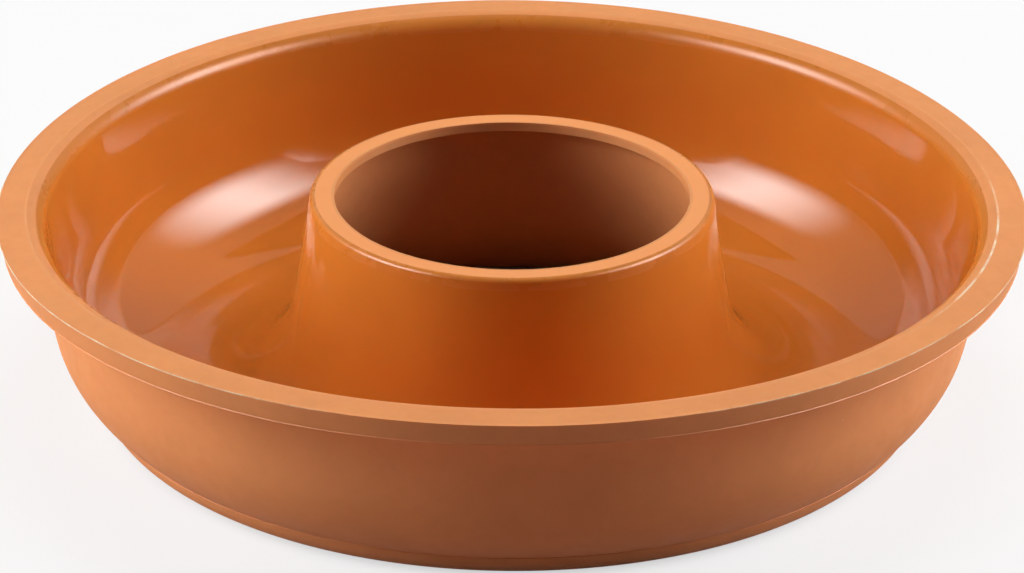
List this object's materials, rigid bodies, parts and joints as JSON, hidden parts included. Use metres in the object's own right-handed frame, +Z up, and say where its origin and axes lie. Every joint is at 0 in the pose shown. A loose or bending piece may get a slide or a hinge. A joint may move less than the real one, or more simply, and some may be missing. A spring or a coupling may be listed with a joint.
{
  "type": "ring cake mould",
  "caption": "Round silicone ring cake mould: a deep trough with a rounded floor around a hollow centre chimney, with a flat flange rim stiffened by a steel ring.",
  "frame": {"origin": "middle of the underside that the mould stands on, on the axis of the chimney", "axes": "+Z up along the axis of the ring, towards the open mouth; +Y away from the viewer of the picture"},
  "size_m": [0.26, 0.26, 0.0558],
  "materials": {
    "silicone": "matte outside and on the flat edges, polished inside the trough",
    "steel": "drawn rod"
  },
  "bodies": {
    "root": {"silicone_mould": "silicone", "rim_ring": "steel"}
  },
  "joints": []
}
